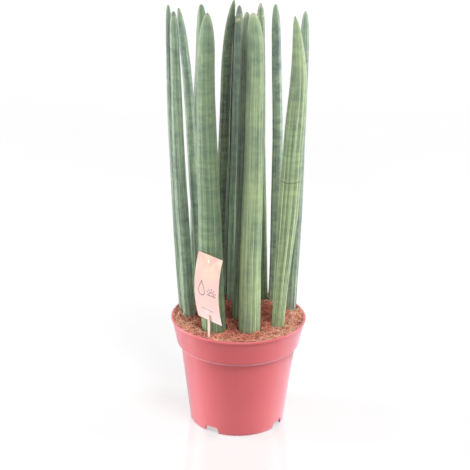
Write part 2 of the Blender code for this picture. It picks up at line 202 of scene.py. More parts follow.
# Colours of the young green near the tip, the specks, the crease, the pale patch and the edge of
# the dry tip; then how much each kind of variation adds to the green
YOUNG_GREEN = (0.25, 0.34, 0.19)
SPECKS = (0.50, 0.55, 0.40)
CREASE_BROWN = (0.09, 0.10, 0.06)
BLOTS = (0.62, 0.62, 0.40)
DRYING = (0.36, 0.40, 0.24)
BAND_SHARE = 0.40
STREAK_SHARE = 0.34
BROAD_SHARE = 0.34
MOTTLE_SHARE = 0.16
LINE_STRENGTH = 0.60
NO_PATCH = (0.0, 1.0, 0.0)
SKINS = [
    Skin(*BLUE, 0.7, 9, 0.9, 0.9, 0.0, SLATE, NO_PATCH, 0),
    Skin(*BLUE, 1.0, 8, 1.1, 1.0, 5.0, SLATE, NO_PATCH, 0),
    Skin(*PALE, 1.0, 9, 0.9, 0.8, 2.0, SLATE, NO_PATCH, 0),
    Skin(*MOSS, 0.6, 8, 0.9, 0.9, 0.0, SLATE, NO_PATCH, 0),
    Skin(*MOSS, 0.80, 11, 0.8, 0.8, 2.0, UMBER, NO_PATCH, 0),
    Skin(*SHADED_GREEN, 1.0, 14, 0.8, 0.9, 1.5, UMBER, NO_PATCH, 0),
    Skin(*SHADED_GREEN, 0.6, 9, 0.9, 0.9, 0.0, UMBER, NO_PATCH, 0),
    Skin(*BLUE, 0.8, 9, 1.0, 1.0, 10.0, SLATE, (17.0, 4.0, 0.9), 0),
    Skin(*SHADED_GREEN, 0.5, 8, 1.0, 0.9, 2.0, UMBER, NO_PATCH, 0),
    Skin(*SAGE, 0.8, 6, 1.1, 1.0, 1.0, PEARL, (3.0, 3.0, 0.7), 0),
    Skin(*MOSS, 0.8, 10, 0.8, 0.8, 4.5, PEARL, (15.0, 6.0, 0.6), 0),
    Skin(*MIST, 1.3, 8, 0.9, 0.8, 0.0, SLATE, NO_PATCH, 0),
    Skin(*SAGE, 1.0, 9, 1.4, 1.5, 1.5, SLATE, NO_PATCH, 197),
    Skin(*PALE, 0.6, 9, 0.8, 0.8, 2.5, PEARL, NO_PATCH, 0),
]

# Card and stick
STICK_FOOT = Vector((-0.0358, -0.0645))
STICK_RADIUS = 0.0015
STICK_SIDES = 24
STICK_RINGS = 60
CARD_CENTRE_Z = 0.2013
CARD_WIDTH = 0.0425
CARD_HEIGHT = 0.084
CARD_THICKNESS = 0.0005
CARD_YAW = 47.0
CARD_BOW = 0.0046
CARD_CURL = 0.04
CARD_COLUMNS = 44
CARD_ROWS = 96
SLIT_INSET = 0.0070
SLIT_CLEARANCE = 0.00025
SLIT_HALF_WIDTH = 0.006
TIP_PAST_SLIT = 0.0025
PRINT_WIDTH = 0.0010
PRINT_LIFT = 0.00004
DROP_CENTRE = (-0.0085, 0.0005)
DROP_SIZE = (0.0150, 0.0190)
SUN_CENTRE = (0.0090, -0.0055)
SUN_RADIUS = 0.0046
RULE_UP = -0.0265
RULE_WIDTH = 0.0005
RULE_HALF = 0.011
CARD_PINK = (0.92, 0.60, 0.57)
CARD_SHADED_TOP = (0.64, 0.39, 0.355)
CARD_LIT_LOW = (0.99, 0.78, 0.77)
CARD_CREAM = (0.80, 0.60, 0.42)
CARD_FLECKS = (0.80, 0.47, 0.38)
INK = ((0.07, 0.07, 0.10), (0.22, 0.19, 0.21))
BARE_WOOD = ((0.97, 0.76, 0.60), (1.0, 0.89, 0.77))


def new_object(name, mesh, material, node=None):
    """Links a finished mesh, rides it on the root body and lets it stand for a solid."""
    obj = bpy.data.objects.new(name, mesh)
    bpy.context.scene.collection.objects.link(obj)
    mesh.materials.append(material)
    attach(obj, "root")
    if node:
        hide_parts(node)
    return obj


def grid_faces(rings, columns):
    """Quads between rings of points that close on themselves, as rows of corner numbers."""
    row = np.arange(rings - 1)[:, None] * columns
    i = np.arange(columns)[None, :]
    j = (i + 1) % columns
    return np.stack([row + i, row + j, row + columns + j, row + columns + i], -1).reshape(-1, 4)


def mesh_from(name, points, faces):
    """A smooth-shaded mesh from lists of points and faces."""
    mesh = bpy.data.meshes.new(name)
    mesh.from_pydata([tuple(p) for p in points], [], [tuple(int(i) for i in f) for f in faces])
    mesh.update()
    mesh.shade_smooth()
    return mesh


def mesh_from_bmesh(name, bm):
    """A mesh from a bmesh, which is freed."""
    mesh = bpy.data.meshes.new(name)
    bm.to_mesh(mesh)
    bm.free()
    return mesh


def faced_outward(mesh):
    """The mesh with its faces turned outward, as a Boolean needs them."""
    bm = bmesh.new()
    bm.from_mesh(mesh)
    bmesh.ops.recalc_face_normals(bm, faces=bm.faces)
    return mesh_from_bmesh(mesh.name, bm)


def tube(points, radii, sides):
    """Points and faces of a closed tube along a path, with a radius at each point."""
    path = np.asarray(points, dtype=float)
    ahead = np.gradient(path, axis=0)
    ahead /= np.linalg.norm(ahead, axis=1)[:, None] + 1e-12
    across = np.cross(ahead, (0.02, 0.01, 1.0))
    across /= np.linalg.norm(across, axis=1)[:, None] + 1e-12
    above = np.cross(across, ahead)
    angle = np.arange(sides) / sides * math.tau
    offsets = across[:, None] * np.cos(angle)[None, :, None] + above[:, None] * np.sin(angle)[None, :, None]
    corners = path[:, None] + offsets * np.asarray(radii, dtype=float).reshape(-1, 1, 1)
    faces = [list(f) for f in grid_faces(len(path), sides)]
    faces.append(list(range(sides))[::-1])
    faces.append([(len(path) - 1) * sides + i for i in range(sides)])
    return corners.reshape(-1, 3), faces


def add_attribute(mesh, name, values):
    """A number on each point, which a material reads by its name."""
    attribute = mesh.attributes.new(name, "FLOAT", "POINT")
    attribute.data.foreach_set("value", np.asarray(values, dtype=np.float32))


def evaluated_mesh(obj, name):
    """The object's mesh with its modifiers applied; the object is removed."""
    bpy.context.view_layer.update()
    mesh = bpy.data.meshes.new_from_object(obj.evaluated_get(bpy.context.evaluated_depsgraph_get()))
    mesh.name = name
    bpy.data.objects.remove(obj)
    return mesh


def scratch_object(mesh):
    """A helper object, which is removed when its mesh has been taken from it."""
    obj = bpy.data.objects.new("scratch", mesh)
    bpy.context.scene.collection.objects.link(obj)
    return obj


def cut_mesh(obj, cutter_bmeshes, name):
    """The object's mesh less each cutter's; the object and the cutters are removed."""
    cutters = [scratch_object(mesh_from_bmesh("cutter", bm)) for bm in cutter_bmeshes]
    for cutter in cutters:
        boolean = obj.modifiers.new("cut", "BOOLEAN")
        boolean.operation = "DIFFERENCE"
        boolean.solver = "EXACT"
        boolean.object = cutter
    mesh = evaluated_mesh(obj, name)
    for cutter in cutters:
        bpy.data.objects.remove(cutter)
    return mesh


class Nodes:
    """Short ways to add shader nodes to one material."""

    def __init__(self, name):
        self.material = bpy.data.materials.new(name)
        self.material.use_nodes = True
        self.tree = self.material.node_tree
        self.shader = self.tree.nodes["Principled BSDF"]
        self.place = self.add("ShaderNodeTexCoord").outputs["Object"]

    def add(self, kind, **settings):
        node = self.tree.nodes.new(kind)
        for key, value in settings.items():
            setattr(node, key, value)
        return node

    def plug(self, socket, value):
        if isinstance(value, bpy.types.NodeSocket):
            self.tree.links.new(value, socket)
        elif isinstance(value, tuple) and socket.type == "RGBA":
            socket.default_value = (*value[:3], 1.0)
        else:
            socket.default_value = value

    def math(self, operation, a, b=0.0, clamp=False):
        node = self.add("ShaderNodeMath", operation=operation, use_clamp=clamp)
        self.plug(node.inputs[0], a)
        self.plug(node.inputs[1], b)
        return node.outputs[0]

    def attribute(self, name):
        return self.add("ShaderNodeAttribute", attribute_name=name).outputs["Fac"]

    def scaled(self, scale):
        node = self.add("ShaderNodeMapping")
        self.plug(node.inputs["Vector"], self.place)
        node.inputs["Scale"].default_value = scale
        return node.outputs[0]

    def height(self):
        """How high the place is above the object's origin, in metres."""
        node = self.add("ShaderNodeSeparateXYZ")
        self.plug(node.inputs[0], self.place)
        return node.outputs[2]

    def combine(self, x, y, z):
        node = self.add("ShaderNodeCombineXYZ")
        for socket, value in zip(node.inputs, (x, y, z)):
            self.plug(socket, value)
        return node.outputs[0]

    def noise(self, vector, detail=3.0, roughness=0.5):
        node = self.add("ShaderNodeTexNoise")
        self.plug(node.inputs["Vector"], vector)
        node.inputs["Scale"].default_value = 1.0
        node.inputs["Detail"].default_value = detail
        node.inputs["Roughness"].default_value = roughness
        return node.outputs[0]

    def span(self, value, low, high, to_low=0.0, to_high=1.0):
        """The value stretched from one range to another, held at its ends."""
        node = self.add("ShaderNodeMapRange")
        self.plug(node.inputs["Value"], value)
        node.inputs["From Min"].default_value = low
        node.inputs["From Max"].default_value = high
        node.inputs["To Min"].default_value = to_low
        node.inputs["To Max"].default_value = to_high
        return node.outputs[0]

    def near(self, value, centre, half_width, strength=1.0):
        """The strength at the centre, falling to 0 at half_width from it."""
        away = self.math("ABSOLUTE", self.math("SUBTRACT", value, centre))
        return self.span(away, 0.0, half_width, strength, 0.0)

    def mix(self, factor, a, b):
        node = self.add("ShaderNodeMix", data_type="RGBA")
        self.plug(node.inputs[0], factor)
        self.plug(node.inputs[6], a)
        self.plug(node.inputs[7], b)
        return node.outputs[2]

    def bump(self, height, distance, strength):
        node = self.add("ShaderNodeBump")
        self.plug(node.inputs["Height"], height)
        node.inputs["Distance"].default_value = distance
        node.inputs["Strength"].default_value = strength
        self.plug(self.shader.inputs["Normal"], node.outputs[0])

    def finish(self, colour, roughness, specular, sheen=0.0):
        """Plugs the last values into the shader and gives its material."""
        self.plug(self.shader.inputs["Base Color"], colour)
        self.plug(self.shader.inputs["Roughness"], roughness)
        self.shader.inputs["Specular IOR Level"].default_value = specular
        self.shader.inputs["Sheen Weight"].default_value = sheen
        self.shader.inputs["Sheen Roughness"].default_value = 0.4
        return self.material


# Leaves


def smooth_step(x):
    """0 below 0, 1 above 1 and a soft rise between them."""
    x = np.clip(x, 0.0, 1.0)
    return x * x * (3 - 2 * x)


def leaf_heights(leaf):
    """Height fractions of the leaf's rings, from just under the soil up to its tip."""
    length = leaf.tip[2] * MM - SOIL_LEVEL
    body = np.linspace(-BURY / length, leaf.shoulder, RINGS)
    cap = leaf.shoulder + (1 - leaf.shoulder) * np.sin(np.linspace(0, math.pi / 2, CAP_RINGS + 1)[1:])
    return np.concatenate([body, cap[:-1], [1 - 1e-4]])


def leaf_centres(leaf, s):
    """The middle of each ring along the leaf's leaning, bowed and hooked line."""
    foot = np.array([*leaf.foot, SOIL_LEVEL / MM]) * MM
    tip = np.array(leaf.tip) * MM
    centres = foot + (tip - foot) * s[:, None]
    centres[:, 0] += 4 * leaf.bow * MM * s * (1 - s)
    centres[:, 0] += leaf.hook * MM * np.clip((s - HOOK_START) / (1 - HOOK_START), 0, 1) ** 2
    return centres


def leaf_radii(leaf, s):
    """The leaf's radius at each height fraction."""
    low = leaf.foot_width + (leaf.width - leaf.foot_width) * smooth_step(s / leaf.belly)
    fall = np.clip((s - leaf.belly) / (leaf.shoulder - leaf.belly), 0, 1) ** leaf.taper
    high = leaf.width + (leaf.neck - leaf.width) * fall
    along = np.clip((s - leaf.shoulder) / (1 - leaf.shoulder), 0, 1)
    cap = leaf.neck * (1 - along**leaf.draw) ** leaf.point
    width = np.where(s < leaf.belly, low, np.where(s < leaf.shoulder, high, cap))
    return width / 2 * MM


def rib_height(angle, ribs, seed):
    """1 on a rib's back and 0 in the groove beside it, with each rib's width its own."""
    wander = 0.35 * np.sin(angle * 3 + seed) + 0.25 * np.sin(angle * 5 + 2.3 * seed)
    wave = 0.5 + 0.5 * np.cos(ribs * angle + wander)
    return wave**0.6


def make_leaf(number, leaf, skin, material):
    """A round leaf with rounded ribs, narrow grooves, slow dents and a tip that draws in."""
    rng = np.random.default_rng(100 + number)
    s = leaf_heights(leaf)
    angle = np.arange(AROUND) / AROUND * math.tau
    turn = math.radians(leaf.turn)
    centres = leaf_centres(leaf, s)
    radii = leaf_radii(leaf, s)
    fade = np.clip((1 - s) / (1 - leaf.shoulder), 0, 1) ** 0.7
    rib = rib_height(angle, leaf.ribs, number)
    groove = RIB_DEPTH * skin.ribs * (1 - rib)[None, :] * fade[:, None]
    phase = rng.uniform(0, math.tau, 6)
    height = (s * (leaf.tip[2] - SOIL_LEVEL / MM))[:, None]
    long_wave = height / LONG_DENT[1] + phase[0] + np.sin(angle + phase[1])[None, :]
    short_wave = height / SHORT_DENT[1] + phase[2] + 2 * np.cos(angle * 2 + phase[3])[None, :]
    dents = LONG_DENT[0] * np.sin(long_wave) + SHORT_DENT[0] * np.sin(short_wave)
    reach = radii[:, None] * (1 - groove - INSET + dents)
    sway = SWAY[0] * MM * np.sin(height / SWAY[1] + phase[4]) * fade[:, None]
    x = centres[:, 0][:, None] + sway + reach * np.cos(angle + turn)[None, :]
    y = centres[:, 1][:, None] + reach * LEAF_DEPTH * np.sin(angle + turn)[None, :]
    z = np.repeat(centres[:, 2][:, None], AROUND, 1)
    points = np.stack([x, y, z], -1).reshape(-1, 3)
    faces = [list(f) for f in grid_faces(len(s), AROUND)]
    faces.append(list(range(AROUND))[::-1])
    faces.append([len(points) - AROUND + i for i in range(AROUND)])
    name = f"leaf_{number:02d}"
    mesh = mesh_from(name + "_skin", points, faces)
    add_attribute(mesh, "rib", (rib[None, :] * fade[:, None]).reshape(-1))
    add_attribute(mesh, "below_tip", leaf.tip[2] - points[:, 2] / MM)
    add_attribute(mesh, "turn_x", np.tile(np.cos(angle), len(s)))
    add_attribute(mesh, "turn_y", np.tile(np.sin(angle), len(s)))
    new_object(name + "_skin", mesh, material, name)


class LeafNodes(Nodes):
    """Shader nodes for one leaf, with places measured round it and down from its tip in mm."""

    def __init__(self, number):
        super().__init__(f"leaf_{number:02d}_finish")
        self.turn_x = self.attribute("turn_x")
        self.turn_y = self.attribute("turn_y")
        self.below = self.attribute("below_tip")
        self.rib = self.attribute("rib")
        self.seed = 17.3 * number

    def skin_noise(self, round_scale, along_scale, shift, detail, roughness=0.5):
        """Noise on the leaf's skin, stretched round it and along it."""
        x = self.math("MULTIPLY", self.turn_x, round_scale)
        y = self.math("MULTIPLY", self.turn_y, round_scale)
        along = self.math("ADD", self.math("MULTIPLY", self.below, along_scale), self.seed + shift)
        return self.noise(self.combine(x, y, along), detail, roughness)


def leaf_green(n, skin, bands, streaks, mottle):
    """Dark to light green, by the cross bands, streaks, broad clouds and mottle; darker high up."""
    broad = n.span(n.skin_noise(0.4, 0.016, 3.0, 2.0), 0.36, 0.64)
    tone = n.math("MULTIPLY", bands, BAND_SHARE * skin.bands)
    tone = n.math("ADD", tone, n.math("MULTIPLY", streaks, STREAK_SHARE * skin.lines))
    tone = n.math("ADD", tone, n.math("MULTIPLY", broad, BROAD_SHARE))
    tone = n.math("ADD", tone, n.math("MULTIPLY", mottle, MOTTLE_SHARE))
    tone = n.math("SUBTRACT", tone, n.span(n.below, 20.0, 230.0, 0.26, 0.06), clamp=True)
    return n.mix(tone, skin.dark, skin.light)


def add_lines(n, green, fine, skin):
    """Pale and dark lines along the leaf and painted shade in its grooves, all stronger towards its foot."""
    strength = LINE_STRENGTH * skin.lines
    foot = n.span(n.below, 90.0, 330.0, 0.75, 1.5)
    pale = n.span(n.skin_noise(1.4 * fine, 0.006, 9.0, 2.0, 0.6), 0.56, 0.68, 0.0, strength)
    green = n.mix(n.math("MULTIPLY", pale, foot), green, tuple(1.25 * c + 0.16 for c in skin.light))
    dark = n.span(n.skin_noise(1.2 * fine, 0.008, 31.0, 2.0, 0.6), 0.56, 0.67, 0.0, strength)
    green = n.mix(n.math("MULTIPLY", dark, foot), green, tuple(0.75 * c for c in skin.dark))
    # Painted shade: the grooves are darkened by how deep they lie, more so low on the leaf
    groove = n.span(n.rib, 0.0, 0.30, 0.5 * skin.ribs, 0.0)
    groove = n.math("MULTIPLY", groove, n.span(n.below, 60.0, 330.0, 0.4, 1.2))
    return n.mix(groove, green, tuple(0.6 * c for c in skin.dark))


def add_crease(n, green, skin):
    """A thin dark crease round the leaf, in the middle of a darker zone."""
    wander = n.math("MULTIPLY", n.skin_noise(1.5, 0.05, 0.0, 2.0), 3.0)
    level = n.math("ADD", n.below, wander)
    green = n.mix(n.near(level, skin.crease - 10.0, 24.0, 0.35), green, skin.dark)
    return n.mix(n.near(level, skin.crease, 1.4, 0.75), green, CREASE_BROWN)


def add_tip(n, green, skin):
    """The pale patch under the tip and the dry end, both with ragged edges."""
    ragged = n.math("MULTIPLY", n.skin_noise(2.0, 0.25, 0.0, 3.0), 5.0)
    depth = n.math("ADD", n.below, ragged)
    centre, half, strength = skin.patch
    if strength:
        blot = n.span(n.skin_noise(2.4, 0.22, 21.0, 3.0), 0.42, 0.58)
        blot = n.math("MULTIPLY", blot, n.near(depth, centre + 2.5, half, strength))
        green = n.mix(blot, green, BLOTS)
    if skin.dry:
        edge = skin.dry + 2.5
        green = n.mix(n.span(depth, edge, edge + 6.0, 0.45, 0.0), green, DRYING)
        green = n.mix(n.span(depth, edge - 1.2, edge + 1.2, 0.8, 0.0), green, skin.dry_colour)
    return green


def leaf_material(number, leaf, skin):
    """Green with wavering cross bands, pale and dark lines along it, and a dry tip."""
    n = LeafNodes(number)
    fine = 0.36 * leaf.width
    bands = n.span(n.skin_noise(0.6, skin.pitch / 58.0, 0.0, 2.0), 0.34, 0.66)
    streaks = n.span(n.skin_noise(fine, 0.012, 0.0, 3.0, 0.65), 0.34, 0.66)
    mottle = n.span(n.skin_noise(3.0, 0.18, 5.0, 4.0, 0.65), 0.35, 0.65)
    green = leaf_green(n, skin, bands, streaks, mottle)
    green = add_lines(n, green, fine, skin)
    green = n.mix(n.span(n.below, 4.0, 45.0, 0.35, 0.0), green, YOUNG_GREEN)
    if skin.crease:
        green = add_crease(n, green, skin)
    green = n.mix(n.span(n.skin_noise(7.0, 0.55, 11.0, 1.0), 0.75, 0.80, 0.0, 0.5), green, SPECKS)
    green = add_tip(n, green, skin)
    height = n.math("ADD", n.math("MULTIPLY", streaks, 0.6), n.math("MULTIPLY", bands, 0.25))
    n.bump(height, 0.0003, 0.7)
    return n.finish(green, n.span(mottle, 0.0, 1.0, 0.40, 0.50), 0.42, 0.10)


def make_leaves():
    for number, (leaf, skin) in enumerate(zip(LEAVES, SKINS), start=1):
        make_leaf(number, leaf, skin, leaf_material(number, leaf, skin))


# Pot


def arc(centre, radius, start, end):
    """Points (r, z) of a circular arc, with its angles in degrees."""
    angles = [math.radians(start + (end - start) * i / ARC_STEPS) for i in range(ARC_STEPS + 1)]
    return [(centre[0] + radius * math.cos(a), centre[1] + radius * math.sin(a)) for a in angles]


def shoulder():
    """The pot's outside from the band's foot, in under it, to the top of the body."""
    rounding_centre = (BAND_FOOT_RADIUS - SHOULDER_ROUNDING, BAND_FOOT_Z)
    points = arc(rounding_centre, SHOULDER_ROUNDING, 0.0, -SHOULDER_TURN)
    turn = math.radians(SHOULDER_TURN)
    r, z = points[-1]
    r -= SHOULDER_STEP * math.sin(turn)
    z -= SHOULDER_STEP * math.cos(turn)
    fillet_centre = (r + SHOULDER_FILLET * math.cos(turn), z - SHOULDER_FILLET * math.sin(turn))
    return points + arc(fillet_centre, SHOULDER_FILLET, 180.0 - SHOULDER_TURN, FILLET_END)


def pot_outside():
    """The pot's outside from its lip down to the edge of its foot."""
    lip_side = RIM_RADIUS - LIP_ROUNDING
    lip_foot = POT_HEIGHT - LIP_HEIGHT
    body_radius, body_top = shoulder()[-1]
    slope = (body_radius - FOOT_RADIUS) / body_top
    points = arc((lip_side, POT_HEIGHT - LIP_ROUNDING), LIP_ROUNDING, 90.0, 0.0)
    points += arc((lip_side, lip_foot + LIP_ROUNDING), LIP_ROUNDING, 0.0, -90.0)
    points.append((BAND_TOP_RADIUS, lip_foot - GAP))
    points += shoulder()
    for i in range(1, BODY_RINGS + 1):
        z = body_top + (FOOT_ROUNDING - body_top) * i / BODY_RINGS
        points.append((FOOT_RADIUS + slope * z, z))
    points.append((FOOT_RADIUS - FOOT_ROUNDING, 0.0))
    return points


def pot_inside(clearance=0.0):
    """The pot's inside from its floor up to its lip, or a filling's side that clears it."""
    points = [(r - WALL - clearance, z) for r, z in reversed(shoulder())]
    slope = (points[0][0] - (FOOT_RADIUS - WALL - clearance)) / points[0][1]
    floor = FLOOR_TOP + clearance
    points.insert(0, (FOOT_RADIUS - WALL - clearance + slope * floor, floor))
    points.append((BAND_TOP_RADIUS - WALL - clearance, POT_HEIGHT - LIP_HEIGHT))
    return points


def notch_bmesh(turn):
    """A block with sloping sides and rounded edges that cuts one notch in the foot."""
    bm = bmesh.new()
    bmesh.ops.create_cube(bm, size=1.0)
    for vertex in bm.verts:
        top = vertex.co.z > 0
        width = NOTCH_TOP_WIDTH if top else NOTCH_WIDTH
        height = NOTCH_HEIGHT if top else -NOTCH_HEIGHT
        vertex.co = Vector((FOOT_RADIUS + vertex.co.x * NOTCH_DEPTH, vertex.co.y * width, height))
    bmesh.ops.bevel(bm, geom=bm.edges[:], offset=NOTCH_ROUNDING, segments=4, affect="EDGES", profile=0.5)
    bm.transform(turn)
    return bm


def drain_bmesh(turn):
    """A round rod that cuts one drain hole in the floor."""
    bm = bmesh.new()
    bmesh.ops.create_cone(
        bm, cap_ends=True, segments=DRAIN_SIDES, radius1=DRAIN_RADIUS, radius2=DRAIN_RADIUS,
        depth=FLOOR_TOP, matrix=Matrix.Translation(turn @ Vector((DRAIN_REACH, 0.0, FLOOR_TOP))),
    )
    return bm


def pot_material():
    """Satin moulded plastic with a fine grain and faint scuffs, brighter low down by painted floor-bounce
    light.
    """
    n = Nodes("pot_finish")
    cloud = n.span(n.noise(n.scaled((16.0, 16.0, 10.0))), 0.3, 0.7)
    colour = n.mix(cloud, *POT_RED)
    # Painted light: the pot is lightened towards its foot as if lit by the floor's bounce
    colour = n.mix(n.span(n.height(), 0.095, 0.030, 0.0, 0.8), colour, POT_BOUNCE_RED)
    scuffs = n.span(n.noise(n.scaled((60.0, 60.0, 420.0)), 2.0), 0.68, 0.78, 0.0, 0.25)
    colour = n.mix(scuffs, colour, SCUFF_PINK)
    n.bump(n.noise(n.scaled((1400.0, 1400.0, 1400.0)), 2.0), 0.00006, 0.3)
    n.shader.inputs["Sheen Tint"].default_value = POT_SHEEN
    return n.finish(colour, n.span(cloud, 0.0, 1.0, 0.34, 0.42), 0.62, 1.0)


def make_pot():
    """The turned shell with its notches and drain holes cut out."""
    inside = pot_inside()
    inner_lip = (BAND_TOP_RADIUS - WALL, POT_HEIGHT - LIP_ROUNDING)
    inner_foot = FOOT_RADIUS - FOOT_WIDTH
    profile = [(0.0, FLOOR_TOP)] + inside + [inner_lip, (inner_lip[0] + LIP_ROUNDING, POT_HEIGHT)]
    profile += pot_outside()
    profile += [(inner_foot, 0.0), (inner_foot + GAP, FLOOR_UNDERSIDE), (0.0, FLOOR_UNDERSIDE)]
    mesh = bpy.data.meshes.new("pot_profile")
    edges = [(i, i + 1) for i in range(len(profile) - 1)]
    mesh.from_pydata([(r, 0.0, z) for r, z in profile], edges, [])
    shell = scratch_object(mesh)
    screw = shell.modifiers.new("turn", "SCREW")
    screw.steps = TURN_STEPS
    screw.render_steps = TURN_STEPS
    screw.use_merge_vertices = True
    screw.merge_threshold = 0.00001
    screw.use_smooth_shade = True
    shell = scratch_object(faced_outward(evaluated_mesh(shell, "pot_shell")))
    cutters = []
    for i in range(NOTCH_COUNT):
        turn = Matrix.Rotation(math.radians(NOTCH_FIRST + 360.0 / NOTCH_COUNT * i), 4, "Z")
        cutters += [notch_bmesh(turn), drain_bmesh(turn)]
    mesh = cut_mesh(shell, cutters, "pot_shell")
    mesh.shade_smooth()
    mesh.set_sharp_from_angle(angle=SHARP_ANGLE)
    new_object("pot_shell", mesh, pot_material(), "pot")


# Soil


def solid_soil_height(x, y):
    """The height of the soil solid's top."""
    reach = min(1.0, math.hypot(x, y) / SOIL_EDGE)
    broad = math.sin(BROAD_WAVE[0] * x + BROAD_PHASE) * math.cos(BROAD_WAVE[1] * y)
    slant = math.sin(SLANT_WAVE[0] * x + SLANT_WAVE[1] * y)
    return SOIL_LEVEL + SOIL_MOUND * (1 - reach**2) + SOIL_RELIEF * (broad + SLANT_SHARE * slant)


def bed_height(x, y):
    """The top of the coir: a lumpy layer over the solid's waves that rises towards the wall."""
    reach = min(1.0, math.hypot(x, y) / SOIL_EDGE)
    lumps = noise.noise(Vector((x * 130, y * 130, 0.5))) + 0.5 * noise.noise(Vector((x * 420, y * 420, 7.0)))
    return solid_soil_height(x, y) + COIR_LAYER + COIR_AT_WALL * reach**3 + COIR_LUMPS * 0.5 * lumps


def over_lip_height(x, y):
    """The height that a strand lies at: on the coir, or on the pot's lip beyond it."""
    r = math.hypot(x, y)
    up = float(smooth_step((r - (SOIL_EDGE - 0.0025)) / 0.0025))
    return bed_height(x, y) * (1 - up) + (POT_HEIGHT + 0.0001) * up


FEET = np.array([leaf.foot for leaf in LEAVES]) * MM
FOOT_RADII = np.array([leaf.foot_width for leaf in LEAVES]) / 2 * MM


def in_leaf(x, y, margin):
    """Whether a place is inside a leaf's foot or within the margin of it."""
    away = np.hypot(FEET[:, 0] - x, (FEET[:, 1] - y) / LEAF_DEPTH)
    return bool(np.any(away < FOOT_RADII + margin))


def painted_lightness(x, y):
    """How light the coir is painted: painted shade in the middle among the leaves, and painted light growing
    towards the left and right.
    """
    middle = math.hypot(x - SHADE_CENTRE[0], y - SHADE_CENTRE[1]) / SOIL_EDGE
    return 0.18 + (0.70 + 0.70 * abs(x) / SOIL_EDGE) * float(smooth_step((middle - 0.25) / 0.7))


def soil_material(name, dark, light, pale):
    """Coir in three tones, by each piece's own number, with a fine grain."""
    n = Nodes(name)
    grit = n.span(n.noise(n.scaled((420.0, 420.0, 420.0)), 4.0, 0.7), 0.35, 0.65)
    tone = n.math("MULTIPLY", n.attribute("tone"), 0.75)
    mixed = n.math("ADD", tone, n.math("MULTIPLY", grit, 0.25))
    colour = n.mix(n.span(mixed, 0.05, 0.55), dark, light)
    colour = n.mix(n.span(mixed, 0.62, 0.95), colour, pale)
    n.bump(grit, 0.0005, 0.8)
    return n.finish(colour, 0.85, 0.2)


def make_soil_bed():
    """The soil's body, with its lumpy top in rings and its side down to the pot's floor."""
    rings = []
    for i in range(1, BED_RINGS + 1):
        radius = SOIL_EDGE * i / BED_RINGS
        ring = []
        for j in range(BED_COLUMNS):
            angle = math.tau * j / BED_COLUMNS
            x, y = radius * math.cos(angle), radius * math.sin(angle)
            ring.append((x, y, min(bed_height(x, y), POT_HEIGHT - 0.0004)))
        rings.append(ring)
    for radius, z in reversed(pot_inside(GAP)):
        if z < SOIL_LEVEL:
            angles = [math.tau * j / BED_COLUMNS for j in range(BED_COLUMNS)]
            rings.append([(radius * math.cos(a), radius * math.sin(a), z) for a in angles])
    points = [(0.0, 0.0, bed_height(0.0, 0.0))] + [p for ring in rings for p in ring]
    faces = [(0, 1 + j, 1 + (j + 1) % BED_COLUMNS) for j in range(BED_COLUMNS)]
    faces += [tuple(f[::-1] + 1) for f in grid_faces(len(rings), BED_COLUMNS)]
    faces.append(tuple(range(len(points) - BED_COLUMNS, len(points)))[::-1])
    mesh = mesh_from("soil_bed", points, faces)
    # The tones carry painted shade among the leaves and painted light towards the left and right
    tones = [(0.24 + 0.6 * noise.noise(Vector(p) * 240.0)) * painted_lightness(p[0], p[1]) for p in points]
    add_attribute(mesh, "tone", tones)
    new_object("soil_bed", mesh, soil_material("soil_bed_finish", *COIR_BED), "soil")


def free_place(rng, margin, reach):
    """A random place on the soil that is clear of the leaves."""
    while True:
        radius = reach * math.sqrt(rng.uniform(0.0, 1.0))
        angle = rng.uniform(0.0, math.tau)
        x, y = radius * math.cos(angle), radius * math.sin(angle)
        if not in_leaf(x, y, margin):
            return x, y


def make_crumbs():
    """Loose crumbs of coir: small uneven lumps half sunk in the bed."""
    rng = np.random.default_rng(41)
    bm = bmesh.new()
    bmesh.ops.create_icosphere(bm, subdivisions=1, radius=1.0)
    lump = np.array([v.co for v in bm.verts])
    lump_faces = [[v.index for v in f.verts] for f in bm.faces]
    bm.free()
    points, faces, tones = [], [], []
    for _ in range(CRUMB_COUNT):
        size = CRUMB_SIZE[0] + (CRUMB_SIZE[1] - CRUMB_SIZE[0]) * rng.uniform() ** 2
        x, y = free_place(rng, size, SOIL_EDGE - 0.0018)
        stretch = rng.uniform(0.55, 1.5, 3) * size
        turn = np.array(Matrix.Rotation(rng.uniform(0, math.tau), 3, Vector(rng.normal(size=3)).normalized()))
        corners = (lump * rng.uniform(0.75, 1.2, (len(lump), 1)) * stretch) @ turn.T
        corners += (x, y, bed_height(x, y) + 0.25 * size)
        faces += [[i + len(points) for i in f] for f in lump_faces]
        points += corners.tolist()
        # Painted shade and light by place, as on the bed
        tones += [rng.uniform(0.0, 1.0) * painted_lightness(x, y)] * len(lump)
    mesh = mesh_from("soil_crumbs", points, faces)
    add_attribute(mesh, "tone", tones)
    new_object("soil_crumbs", mesh, soil_material("crumb_finish", *COIR_CRUMBS))


def strand_path(rng, x, y, length, heading, arch):
    """A strand's points as it wanders over the coir, or None if it would meet a leaf."""
    turn = rng.normal(0.0, 0.16)
    step = length / (STRAND_POINTS - 1)
    path = []
    for i in range(STRAND_POINTS):
        if math.hypot(x, y) > RIM_RADIUS - 0.0004 or in_leaf(x, y, 0.0004):
            return None
        along = i / (STRAND_POINTS - 1)
        lift = 0.0002 + arch * 4 * along * (1 - along) + rng.uniform(0.0, 0.0005)
        path.append((x, y, over_lip_height(x, y) + lift))
        heading += turn + rng.normal(0.0, 0.22)
        x += math.cos(heading) * step
        y += math.sin(heading) * step
    return path


